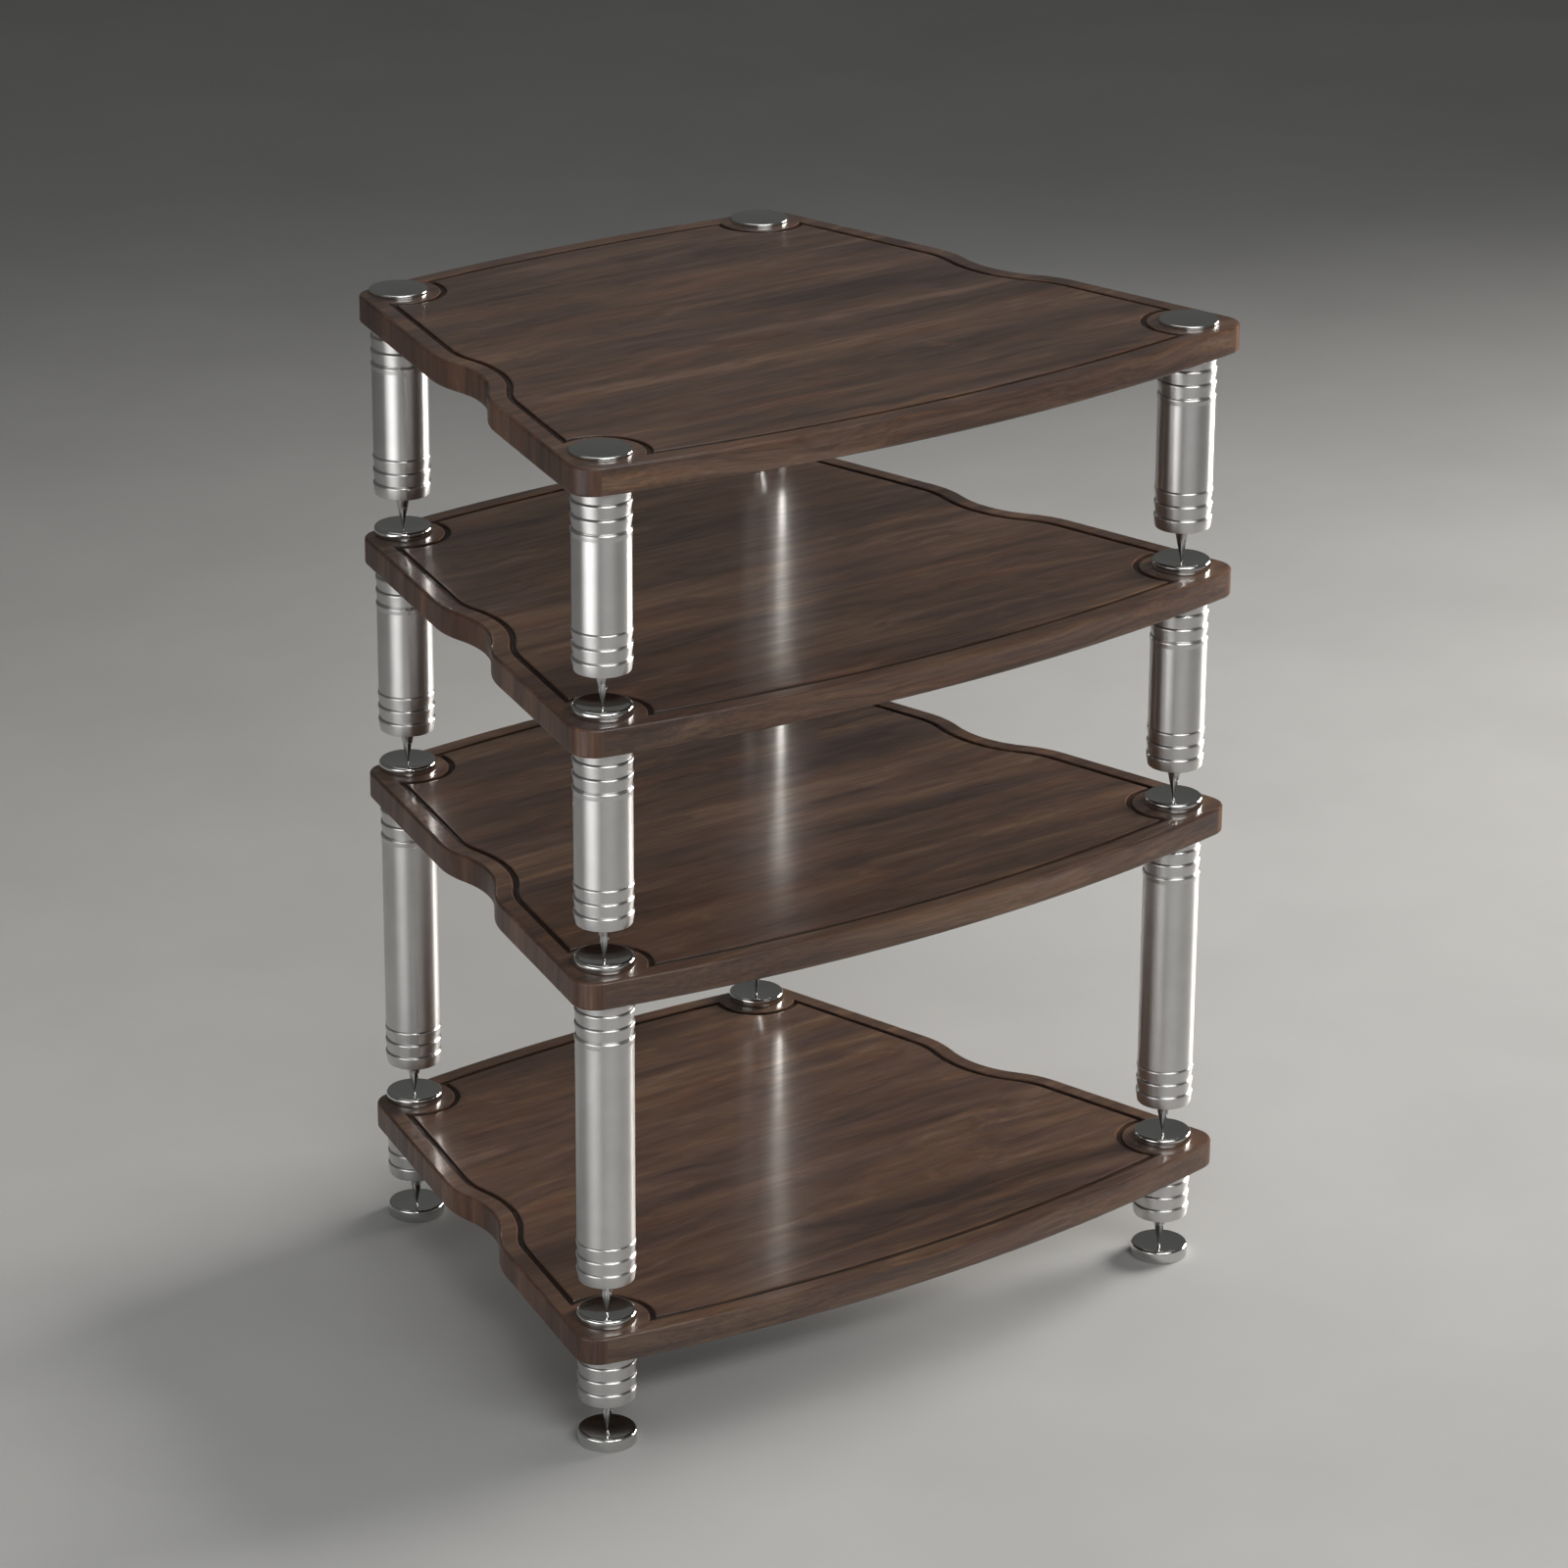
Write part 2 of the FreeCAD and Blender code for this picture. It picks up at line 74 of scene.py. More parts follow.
class Shader:
    """A new material with its Principled shader and short calls for adding nodes."""

    def __init__(self, name):
        self.material = bpy.data.materials.new(name)
        self.material.use_nodes = True
        self.tree = self.material.node_tree
        self.surface = self.tree.nodes["Principled BSDF"]

    def node(self, kind, inputs=None, **settings):
        made = self.tree.nodes.new(kind)
        for key, value in settings.items():
            setattr(made, key, value)
        for key, value in (inputs or {}).items():
            self.feed(made.inputs[key], value)
        return made

    def feed(self, socket, value):
        """Link another node's output into a socket, or set its constant."""
        if isinstance(value, bpy.types.NodeSocket):
            self.tree.links.new(value, socket)
        else:
            socket.default_value = value

    def set(self, **values):
        for key, value in values.items():
            self.feed(self.surface.inputs[key.replace("_", " ").title()], value)

    def place(self):
        """Coordinates fixed to the piece, in metres."""
        return self.node("ShaderNodeTexCoord").outputs["Object"]

    def noise(self, vector, scale, detail=2.0, roughness=0.5, distortion=0.0):
        inputs = {
            "Vector": vector,
            "Scale": scale,
            "Detail": detail,
            "Roughness": roughness,
            "Distortion": distortion,
        }
        return self.node("ShaderNodeTexNoise", inputs).outputs["Fac"]

    def drawn_noise(self, vector, repeats, offset=(0.0, 0.0, 0.0), **shape):
        """Noise drawn out by its own repeats per metre along each axis."""
        mapping = self.node("ShaderNodeMapping", {"Vector": vector})
        mapping.inputs["Scale"].default_value = repeats
        mapping.inputs["Location"].default_value = offset
        return self.noise(mapping.outputs["Vector"], 1.0, **shape)

    def ramp(self, value, stops):
        """Colour ramp: stops are (position, colour)."""
        made = self.node("ShaderNodeValToRGB", {"Fac": value})
        elements = made.color_ramp.elements
        while len(elements) < len(stops):
            elements.new(0.5)
        for element, (position, colour) in zip(elements, stops):
            element.position = position
            element.color = (*colour, 1.0)
        return made.outputs["Color"]

    def mix(self, factor, first, second, blend="MIX", kind="RGBA"):
        made = self.node("ShaderNodeMix", data_type=kind)
        if kind == "RGBA":
            made.blend_type = blend
        self.feed(made.inputs["Factor"], factor)
        self.feed(made.inputs["A"], first)
        self.feed(made.inputs["B"], second)
        return made.outputs["Result"]

    def multiply(self, first, second):
        """Product of two colours."""
        return self.mix(1.0, first, second, "MULTIPLY")

    def maths(self, operation, first, second=0.0, third=0.0):
        made = self.node("ShaderNodeMath", operation=operation)
        for index, value in enumerate((first, second, third)):
            self.feed(made.inputs[index], value)
        return made.outputs["Value"]

    def spread(self, value, low, high, to_low=0.0, to_high=1.0):
        """Rescale a value, held within the new range."""
        inputs = {
            "Value": value,
            "From Min": low,
            "From Max": high,
            "To Min": to_low,
            "To Max": to_high,
        }
        return self.node("ShaderNodeMapRange", inputs).outputs["Result"]

    def bump(self, height, strength, distance):
        made = self.node("ShaderNodeBump", {"Height": height, "Strength": strength})
        made.inputs["Distance"].default_value = distance
        return made.outputs["Normal"]


# Walnut

WHITE = (1, 1, 1, 1)
TONES = [
    (0.34, (0.035, 0.0200, 0.0150)),
    (0.45, (0.058, 0.0330, 0.0238)),
    (0.55, (0.080, 0.0460, 0.0310)),
    (0.66, (0.120, 0.0720, 0.0480)),
]
HUES = [
    (0.32, (0.92, 0.94, 1.04)),
    (0.44, (0.97, 0.98, 1.01)),
    (0.54, (1.00, 1.02, 0.94)),
    (0.66, (1.13, 1.00, 0.92)),
]
CLOUDS = [(0.35, (0.83, 0.83, 0.86)), (0.65, (1.20, 1.18, 1.13))]
FINE_TONES = [(0.34, (0.76, 0.75, 0.74)), (0.64, (1.16, 1.16, 1.16))]
BAND_SHARE = 0.66
STREAK_SHARE = 0.36
PORE_COLOUR = (0.012, 0.008, 0.007, 1)
PORE_SHARE = 0.45
SIDE_TINT = (1.20, 0.95, 0.85, 1)
SIDE_TINT_SHARE = 0.5
SIDE_LACQUER_SHARE = 0.35
TOP_COAT_ROUGHNESS = 0.17
SIDE_COAT_ROUGHNESS = 0.42
WOOD_SPECULAR = 0.30
LACQUER_IOR = 1.5
GRAIN_SWAY = 0.030
GRAIN_STRENGTH = 0.25
GRAIN_DEPTH = 0.00010


def grain_of(wood):
    """Coordinates along the wavy grain, and where a surface belongs to the upright sides."""
    place = wood.place()
    axes = wood.node("ShaderNodeSeparateXYZ", {"Vector": place})
    upright = wood.node("ShaderNodeCombineXYZ")
    wood.feed(upright.inputs["X"], axes.outputs["Z"])
    wood.feed(upright.inputs["Y"], axes.outputs["Y"])
    wood.feed(upright.inputs["Z"], axes.outputs["X"])
    normal = wood.node("ShaderNodeNewGeometry").outputs["Normal"]
    facing = wood.node("ShaderNodeSeparateXYZ", {"Vector": normal}).outputs["X"]
    on_side = wood.spread(wood.maths("ABSOLUTE", facing), 0.26, 0.34)
    straight = wood.mix(on_side, place, upright.outputs["Vector"], kind="VECTOR")
    sway = wood.drawn_noise(straight, (5.0, 11.0, 11.0), offset=(0.7, 2.3, 1.1))
    shift = wood.maths("MULTIPLY_ADD", sway, GRAIN_SWAY, -GRAIN_SWAY / 2)
    offset = wood.node("ShaderNodeCombineXYZ", {"Y": shift, "Z": shift})
    swayed = wood.node("ShaderNodeVectorMath", operation="ADD")
    wood.feed(swayed.inputs[0], straight)
    wood.feed(swayed.inputs[1], offset.outputs["Vector"])
    return swayed.outputs["Vector"], on_side


def walnut(name, painted_shade=1.0, lacquer=0.58):
    """Dark lacquered walnut: grain along X, and upright on the corners and side edges."""
    wood = Shader(name)
    grain, on_side = grain_of(wood)
    drift = wood.drawn_noise(grain, (1.3, 7.0, 7.0))
    bands = wood.drawn_noise(grain, (2.2, 24.0, 60.0), detail=3.0, roughness=0.55, distortion=0.9)
    streaks = wood.drawn_noise(grain, (8.0, 95.0, 210.0), detail=4.0, roughness=0.62, distortion=0.7)
    hues = wood.drawn_noise(
        grain, (5.0, 44.0, 120.0), offset=(3.1, 1.7, 0.4), detail=3.0, roughness=0.55, distortion=0.6
    )
    fibres = wood.drawn_noise(grain, (18.0, 560.0, 560.0), detail=3.0, roughness=0.6)
    pores = wood.drawn_noise(grain, (70.0, 1300.0, 1300.0), detail=1.0)

    streak_part = wood.maths("MULTIPLY", streaks, STREAK_SHARE)
    tone = wood.maths("MULTIPLY_ADD", bands, BAND_SHARE, streak_part)
    colour = wood.ramp(tone, TONES)
    colour = wood.multiply(colour, wood.ramp(hues, HUES))
    colour = wood.multiply(colour, wood.ramp(drift, CLOUDS))
    colour = wood.multiply(colour, wood.ramp(fibres, FINE_TONES))
    dark_pore = wood.spread(pores, 0.68, 0.76)
    colour = wood.mix(wood.maths("MULTIPLY", dark_pore, PORE_SHARE), colour, PORE_COLOUR)
    side_tint = wood.mix(wood.maths("MULTIPLY", on_side, SIDE_TINT_SHARE), WHITE, SIDE_TINT)
    colour = wood.multiply(colour, side_tint)
    # A factor below 1 darkens the colour all over. This is painted shade, used for the channel.
    if painted_shade != 1.0:
        colour = wood.multiply(colour, (painted_shade, painted_shade, painted_shade, 1))

    relief = wood.maths("SUBTRACT", fibres, dark_pore)
    wood.set(
        Base_color=colour,
        Roughness=wood.spread(streaks, 0.3, 0.7, to_low=0.50, to_high=0.38),
        Normal=wood.bump(relief, GRAIN_STRENGTH, GRAIN_DEPTH),
        Coat_weight=wood.spread(on_side, 0.0, 1.0, lacquer, lacquer * SIDE_LACQUER_SHARE),
        Coat_roughness=wood.spread(on_side, 0.0, 1.0, TOP_COAT_ROUGHNESS, SIDE_COAT_ROUGHNESS),
    )
    wood.surface.inputs["Specular IOR Level"].default_value = WOOD_SPECULAR
    wood.surface.inputs["Coat IOR"].default_value = LACQUER_IOR
    return wood.material


# Metals and floor

STAIN = 0.05
UNEVEN_POLISH = 0.03
TOOL_LINES_PER_METRE = 2600.0
TOOL_LINE_DEPTH = 0.00004
QUARTER_TURN = 0.25
FLOOR_SPECULAR = 0.15
FLOOR_TONES = [(0.3, (0.325, 0.325, 0.32)), (0.7, (0.355, 0.355, 0.35))]


def metal(name, colour, roughness, anisotropy=0.0, lathe_lines=0.0):
    """Metal with faint tool lines round the axis and a slight unevenness."""
    made = Shader(name)
    place = made.place()
    cloud = made.noise(place, 35.0, detail=3.0)
    dull, bright = (tuple(c * level for c in colour) for level in (1 - STAIN, 1 + STAIN / 2))
    lines = made.drawn_noise(place, (0.0, 0.0, TOOL_LINES_PER_METRE), roughness=0.6)
    smoothest = roughness * (1 - UNEVEN_POLISH)
    roughest = roughness * (1 + UNEVEN_POLISH)
    made.set(
        Base_color=made.ramp(cloud, [(0.35, dull), (0.65, bright)]),
        Roughness=made.spread(lines, 0.3, 0.7, smoothest, roughest),
        Metallic=1.0,
    )
    if lathe_lines:
        made.set(Normal=made.bump(lines, lathe_lines, TOOL_LINE_DEPTH))
    if anisotropy:
        # The tool lines run round the piece, so that a light is drawn out upwards and downwards
        made.surface.inputs["Anisotropic"].default_value = anisotropy
        made.surface.inputs["Anisotropic Rotation"].default_value = QUARTER_TURN
        tangent = made.node("ShaderNodeTangent", direction_type="RADIAL", axis="Z")
        made.set(Tangent=tangent.outputs["Tangent"])
    return made.material


def plain_floor():
    """Pale floor with a barely visible mottle."""
    floor = Shader("pale_floor")
    mottle = floor.noise(floor.place(), 2.5, detail=4.0, roughness=0.6)
    floor.set(
        Base_color=floor.ramp(mottle, FLOOR_TONES),
        Roughness=floor.spread(mottle, 0.3, 0.7, to_low=0.74, to_high=0.84),
    )
    floor.surface.inputs["Specular IOR Level"].default_value = FLOOR_SPECULAR
    return floor.material


WALNUT = walnut("lacquered_walnut")
# The channel's walls and floor get walnut darkened to 0.36, with less lacquer. This is painted shade
# for the recess.
CHANNEL_SHADE_WALNUT = walnut("channel_painted_shade_walnut", painted_shade=0.36, lacquer=0.12)
ALUMINIUM = metal("turned_aluminium", (0.62, 0.61, 0.60), roughness=0.29, anisotropy=0.82)
POLISHED = metal("polished_steel", (0.64, 0.64, 0.625), roughness=0.06)
SPIKE_STEEL = metal("spike_steel", (0.50, 0.50, 0.50), roughness=0.16, anisotropy=0.8)
SCREW_STEEL = metal("screw_steel", (0.60, 0.60, 0.58), roughness=0.32, lathe_lines=0.3)


# Turned pieces, whose profiles are (radius, height, rounding) corners in millimetres

AROUND = 128
ROUNDING_STEPS = 4
ON_AXIS = 1e-6
METAL_PIECES = bpy.data.collections.new("metal_pieces")


def rounded(corners, closed):
    """Points of a profile, with arcs at the corners that have a rounding."""
    points = []
    count = len(corners)
    for index, (radius, height, rounding) in enumerate(corners):
        here = Vector((radius, height))
        at_end = not closed and index in (0, count - 1)
        if not rounding or at_end:
            points.append(here)
            continue
        to_before = Vector(corners[index - 1][:2]) - here
        to_after = Vector(corners[(index + 1) % count][:2]) - here
        half_angle = to_before.angle(to_after) / 2
        setback = rounding / math.tan(half_angle)
        start = here + to_before.normalized() * setback
        end = here + to_after.normalized() * setback
        inward = (to_before.normalized() + to_after.normalized()).normalized()
        centre = here + inward * (rounding / math.sin(half_angle))
        for step in range(ROUNDING_STEPS + 1):
            along = start.lerp(end, step / ROUNDING_STEPS) - centre
            points.append(centre + along.normalized() * rounding)
    return points


def turned_rings(points, axis, base):
    """Vertices of the points turned about an upright axis, and the numbers in each ring."""
    vertices = []
    rings = []
    for point in points:
        z = base + point.y * MM
        if abs(point.x) < ON_AXIS:
            rings.append([len(vertices)])
            vertices.append((axis.x, axis.y, z))
            continue
        rings.append(list(range(len(vertices), len(vertices) + AROUND)))
        for step in range(AROUND):
            angle = 2 * math.pi * step / AROUND
            x = axis.x + point.x * MM * math.cos(angle)
            y = axis.y + point.x * MM * math.sin(angle)
            vertices.append((x, y, z))
    return vertices, rings


def turned_faces(rings, closed):
    faces = []
    pairs = list(zip(rings, rings[1:]))
    if closed:
        pairs.append((rings[-1], rings[0]))
    for lower, upper in pairs:
        for step in range(AROUND):
            following = (step + 1) % AROUND
            if len(lower) == 1:
                faces.append((lower[0], upper[following], upper[step]))
            elif len(upper) == 1:
                faces.append((lower[step], lower[following], upper[0]))
            else:
                faces.append((lower[step], lower[following], upper[following], upper[step]))
    return faces


def add_piece(name, mesh):
    """Smooth object for a mesh, with its sharp edges kept."""
    mesh.shade_smooth()
    mesh.set_sharp_from_angle(angle=SHARP_EDGE)
    piece = bpy.data.objects.new(name, mesh)
    bpy.context.scene.collection.objects.link(piece)
    return piece


def lathe(name, node, corners, material, closed=False):
    """Turn a profile, with heights above the node's base, about the node's axis."""
    low, high = (Vector(corner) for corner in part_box(node))
    vertices, rings = turned_rings(rounded(corners, closed), (low + high) / 2, low.z)
    mesh = bpy.data.meshes.new(name)
    mesh.from_pydata(vertices, [], turned_faces(rings, closed))
    mesh.materials.append(material)
    piece = add_piece(name, mesh)
    METAL_PIECES.objects.link(piece)
    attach(piece, CAD[node]["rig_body"])
    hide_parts(node)
    return piece


def height_of(node):
    low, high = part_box(node)
    return (high[2] - low[2]) / MM


BARREL = 25.0
RING_WIDEST = 25.8
RING_ROOT = 24.1
RING_PITCH = 12.5
RING_BEVEL = 1.2
RINGS_PER_END = 3
CREST_ROUNDING = 2.2
ROOT_ROUNDING = 0.12
FLARE_ROUNDING = 4.0
STEP_HEIGHT = 0.05
BEVEL_FOOT_ROUNDING = 0.2
COLUMN_FOOT_ROUNDING = 0.6
BORE = 4.05
RECESS = 7.8
RECESS_DEPTH = 6.3
RECESS_ROUNDING = 0.25


def ring_points(bottom):
    """Root and crest of the ring that starts at a height; the next root closes it."""
    crest = bottom + RING_PITCH - RING_BEVEL
    return [(RING_ROOT, bottom, ROOT_ROUNDING), (RING_WIDEST, crest, CREST_ROUNDING)]


def column_profile(length):
    """Outer wall of a column from its foot up, with rings at both ends or all the way."""
    band = RINGS_PER_END * RING_PITCH
    outline = []
    if length < 2 * band:
        for index in range(round(length / RING_PITCH)):
            outline += ring_points(index * RING_PITCH)
    else:
        for index in range(RINGS_PER_END):
            outline += ring_points(index * RING_PITCH)
        upper = length - band
        slope = (RING_WIDEST - RING_ROOT) / (RING_PITCH - RING_BEVEL)
        flare_start = upper - RING_PITCH + (BARREL - RING_ROOT) / slope
        bevel_end = upper - RING_BEVEL * (BARREL - RING_ROOT) / (RING_WIDEST - RING_ROOT)
        outline += [(RING_ROOT, band, ROOT_ROUNDING), (BARREL, band + STEP_HEIGHT, 0.0)]
        outline.append((BARREL, flare_start, FLARE_ROUNDING))
        outline.append((RING_WIDEST, upper - RING_BEVEL, CREST_ROUNDING))
        outline += [(BARREL, bevel_end, 0.0), (BARREL, upper, BEVEL_FOOT_ROUNDING)]
        for index in range(RINGS_PER_END):
            outline += ring_points(upper + index * RING_PITCH)
    outline.append((RING_ROOT, length, 0.0))
    return outline


def column(tier, corner):
    """Column with a bore for the spike's stem and a recess for the spike's base."""
    node = f"column_{tier}_{corner}"
    length = height_of(node)
    outline = column_profile(length)
    outline[0] = (RING_ROOT, 0.0, COLUMN_FOOT_ROUNDING)
    hollow = [
        (BORE, length, 0.0),
        (BORE, RECESS_DEPTH, 0.0),
        (RECESS, RECESS_DEPTH, 0.0),
        (RECESS, 0.0, RECESS_ROUNDING),
    ]
    return lathe(f"turned_{node}", node, outline + hollow, ALUMINIUM, closed=True)


SPIKE_REACH = 32.5
SPIKE_BASE = 7.5
SPIKE_TIP = 0.6
SPIKE_STEM = 4.0
TIP_ROUNDING = 0.25
BASE_ROUNDING = 0.3
STEM_ROUNDING = 0.5


def spike(tier, corner):
    """Cone on its tip, with a plain stem above it."""
    node = f"spike_{tier}_{corner}"
    length = height_of(node)
    profile = [
        (0.0, 0.0, 0.0),
        (SPIKE_TIP, 0.0, TIP_ROUNDING),
        (SPIKE_BASE, SPIKE_REACH, BASE_ROUNDING),
        (SPIKE_STEM, SPIKE_REACH, 0.0),
        (SPIKE_STEM, length, STEM_ROUNDING),
        (0.0, length, 0.0),
    ]
    return lathe(f"ground_{node}", node, profile, SPIKE_STEEL)


CUP_RADIUS = 25.75
CUP_FOOT_ROUNDING = 0.7
DISH_RADIUS = 23.0
DISH_DEPTH = 3.0
DISH_STEPS = 14
RIM_ROUNDING = 2.4


def cup(node):
    """Dished disc: rounded rim, and a hollow that follows part of a sphere."""
    height = height_of(node)
    sphere = (DISH_RADIUS**2 + DISH_DEPTH**2) / (2 * DISH_DEPTH)
    profile = [
        (0.0, 0.0, 0.0),
        (CUP_RADIUS, 0.0, CUP_FOOT_ROUNDING),
        (CUP_RADIUS, height, RIM_ROUNDING),
    ]
    for step in range(DISH_STEPS + 1):
        radius = DISH_RADIUS * (1 - step / DISH_STEPS)
        drop = math.sqrt(sphere**2 - radius**2) - (sphere - DISH_DEPTH)
        profile.append((radius, height - drop, 0.0))
    return lathe(f"dished_{node}", node, profile, POLISHED)


CAP_FOOT_ROUNDING = 0.2
CAP_RIM_ROUNDING = 1.1


def cap(corner):
    """Flat polished disc with a rounded rim."""
    node = f"cap_{corner}"
    low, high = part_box(node)
    height = height_of(node)
    radius = (high[0] - low[0]) / 2 / MM
    profile = [
        (0.0, 0.0, 0.0),
        (radius, 0.0, CAP_FOOT_ROUNDING),
        (radius, height, CAP_RIM_ROUNDING),
        (0.0, height, 0.0),
    ]
    return lathe(f"polished_{node}", node, profile, POLISHED)


for tier in TIERS:
    for corner in CORNERS:
        column(tier, corner)
        spike(tier, corner)
        cup(f"pad_{corner}" if tier == 1 else f"cup_{tier}_{corner}")
for corner in CORNERS:
    cap(corner)


# Shelves: plan of the outline and of the routed channel, in millimetres

shelf_low, shelf_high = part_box("shelf_1")
THICKNESS = (shelf_high[2] - shelf_low[2]) / MM
BOW_RADIUS = 1650.0
SIDE_MARGIN = 36.0
CORNER_RADIUS = 22.0
WAIST_FROM_FRONT = 220.0
WAIST_HALF = 78.0
WAIST_DEPTH = 17.0
CHANNEL_INSET = 18.5
SCALLOP_RADIUS = 39.5
FRONT_BOW_STEPS = 56
BACK_BOW_STEPS = 40
WAIST_ARC_STEPS = 10
CORNER_STEPS = 12
SCALLOP_STEPS = 24
SAME_POINT = 0.05


def axis_of(node):
    low, high = (Vector(corner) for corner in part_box(node))
    return ((low + high) / 2 / MM).xy


FRONT_POST = axis_of("column_1_fr")
BACK_POST = axis_of("column_1_br")
ALONG = (BACK_POST - FRONT_POST).normalized()
OUTWARD = Vector((ALONG.y, -ALONG.x))
FRONT_BOW = Vector((0.0, shelf_low[1] / MM + BOW_RADIUS))
BACK_BOW = Vector((0.0, shelf_high[1] / MM - BOW_RADIUS))
WAIST = FRONT_POST + ALONG * (WAIST_FROM_FRONT / ALONG.y)
WAIST_RADIUS = (WAIST_HALF**2 + WAIST_DEPTH**2) / (4 * WAIST_DEPTH)


def arc(centre, radius, first, last, steps):
    """Points the short way round from the direction of one point to that of another."""
    from_angle = math.atan2(first.y - centre.y, first.x - centre.x)
    to_angle = math.atan2(last.y - centre.y, last.x - centre.x)
    sweep = (to_angle - from_angle + math.pi) % (2 * math.pi) - math.pi
    angles = [from_angle + sweep * step / steps for step in range(steps + 1)]
    return [centre + Vector((math.cos(a), math.sin(a))) * radius for a in angles]


def on_side(inset, centre, radius, far):
    """Where the straight side, at an inset, meets a circle: its far or its near crossing."""
    start = FRONT_POST + OUTWARD * (SIDE_MARGIN - inset)
    along = (centre - start).dot(ALONG)
    across2 = (centre - start).length_squared - along * along
    half = math.sqrt(radius * radius - across2)
    return start + ALONG * (along + half if far else along - half)


def crossing(centre_a, radius_a, centre_b, radius_b):
    """Crossing point of two circles that lies nearer to the middle of the shelf."""
    between = centre_b - centre_a
    reach = between.length
    along = (radius_a**2 - radius_b**2 + reach**2) / (2 * reach)
    across = math.sqrt(radius_a**2 - along**2)
    unit = between / reach
    normal = Vector((-unit.y, unit.x))
    both = [centre_a + unit * along + normal * side * across for side in (1, -1)]
    return min(both, key=lambda point: point.x)


def waist_points(inset):
    """The waist at an inset: convex, concave and convex arcs that meet tangentially."""
    sweep = math.asin(WAIST_HALF / (2 * WAIST_RADIUS))
    outer = SIDE_MARGIN - WAIST_RADIUS
    inner = SIDE_MARGIN - WAIST_DEPTH + WAIST_RADIUS
    pieces = [
        (WAIST - ALONG * WAIST_HALF + OUTWARD * outer, WAIST_RADIUS - inset, 1, 0, sweep),
        (WAIST + OUTWARD * inner, WAIST_RADIUS + inset, -1, -sweep, sweep),
        (WAIST + ALONG * WAIST_HALF + OUTWARD * outer, WAIST_RADIUS - inset, 1, -sweep, 0),
    ]
    points = []
    for centre, radius, side, first, last in pieces:
        ends = [OUTWARD * side * math.cos(a) + ALONG * math.sin(a) for a in (first, last)]
        points.append(arc(centre, radius, centre + ends[0], centre + ends[1], WAIST_ARC_STEPS))
    return points


def mirrored(point):
    return Vector((-point.x, point.y))


def closed_loop(front, right, back):
    """Front stretch, right side and back stretch, with the right side mirrored on the left."""
    right = [point for section in right for point in section]
    left = [mirrored(point) for point in reversed(right)]
    points = []
    for point in front + right + back + left:
        if not points or (point - points[-1]).length > SAME_POINT:
            points.append(point)
    if (points[0] - points[-1]).length < SAME_POINT:
        points.pop()
    return points


def edge_loop(inset):
    """Shelf outline with rounded corners, at an inset."""
    near = on_side(CORNER_RADIUS, FRONT_BOW, BOW_RADIUS - CORNER_RADIUS, far=False)
    far = on_side(CORNER_RADIUS, BACK_BOW, BOW_RADIUS - CORNER_RADIUS, far=True)
    rounding = CORNER_RADIUS - inset
    at_front = near * 2 - FRONT_BOW
    at_back = far * 2 - BACK_BOW
    right = [arc(near, rounding, at_front, near + OUTWARD, CORNER_STEPS)]
    right += waist_points(inset)
    right.append(arc(far, rounding, far + OUTWARD, at_back, CORNER_STEPS))
    front = arc(FRONT_BOW, BOW_RADIUS - inset, mirrored(near), near, FRONT_BOW_STEPS)
    back = arc(BACK_BOW, BOW_RADIUS - inset, far, mirrored(far), BACK_BOW_STEPS)
    return closed_loop(front, right, back)


def channel_loop(across):
    """Line along the channel, at a distance from its middle towards the panel."""
    inset = CHANNEL_INSET + across
    scallop = SCALLOP_RADIUS + across
    bow = BOW_RADIUS - inset
    front_cusp = crossing(FRONT_BOW, bow, FRONT_POST, scallop)
    back_cusp = crossing(BACK_BOW, bow, BACK_POST, scallop)
    side_front = on_side(inset, FRONT_POST, scallop, far=True)
    side_back = on_side(inset, BACK_POST, scallop, far=False)
    right = [arc(FRONT_POST, scallop, front_cusp, side_front, SCALLOP_STEPS)]
    right += waist_points(inset)
    right.append(arc(BACK_POST, scallop, side_back, back_cusp, SCALLOP_STEPS))
    front = arc(FRONT_BOW, bow, mirrored(front_cusp), front_cusp, FRONT_BOW_STEPS)
    back = arc(BACK_BOW, bow, back_cusp, mirrored(back_cusp), BACK_BOW_STEPS)
    return closed_loop(front, right, back)


# Shelves: cross-sections, and boards with rounded edges and a channel with softened lips

ARRIS = 2.5
CHANNEL_HALF = 2.5
CHANNEL_DEPTH = 2.5
LIP = 1.2
FLOOR_FILLET = 1.1
SUPPORT = 0.4
SCREW_HOLE = 4.5
HEAD_HOLE = 7.5
HEAD_HOLE_DEPTH = 6.0
HOLE_STEPS = 24
ROUND_STEPS = 5
# Channel faces wholly below this height take the darkened walnut as painted shade.
PAINTED_SHADE_BELOW = THICKNESS - 0.5
WALNUT_SLOT = 0
PAINTED_SHADE_SLOT = 1


def part_circle(centre, radius, first, last):
    """Arc of a cross-section in (across, height), with angles in degrees."""
    points = []
    for step in range(ROUND_STEPS + 1):
        angle = math.radians(first + (last - first) * step / ROUND_STEPS)
        points.append((centre[0] + radius * math.cos(angle), centre[1] + radius * math.sin(angle)))
    return points


def channel_section():
    """Across the channel from the rim to the panel: lip, wall, floor, wall, lip."""
    lip_centre = CHANNEL_HALF + LIP
    fillet_centre = CHANNEL_HALF - FLOOR_FILLET
    floor = THICKNESS - CHANNEL_DEPTH
    half = [(-lip_centre - SUPPORT, THICKNESS)]
    half += part_circle((-lip_centre, THICKNESS - LIP), LIP, 90, 0)
    half += part_circle((-fillet_centre, floor + FLOOR_FILLET), FLOOR_FILLET, 180, 270)
    return half + [(-across, height) for across, height in reversed(half)]


def edge_section():
    """Round the outer edge from the underside to the top, as (inset, height)."""
    upper = part_circle((ARRIS, THICKNESS - ARRIS), ARRIS, 180, 90)
    half = [(ARRIS + SUPPORT, THICKNESS)] + upper[::-1] + [(0.0, THICKNESS - ARRIS - SUPPORT)]
    return [(inset, THICKNESS - height) for inset, height in half] + half[::-1]


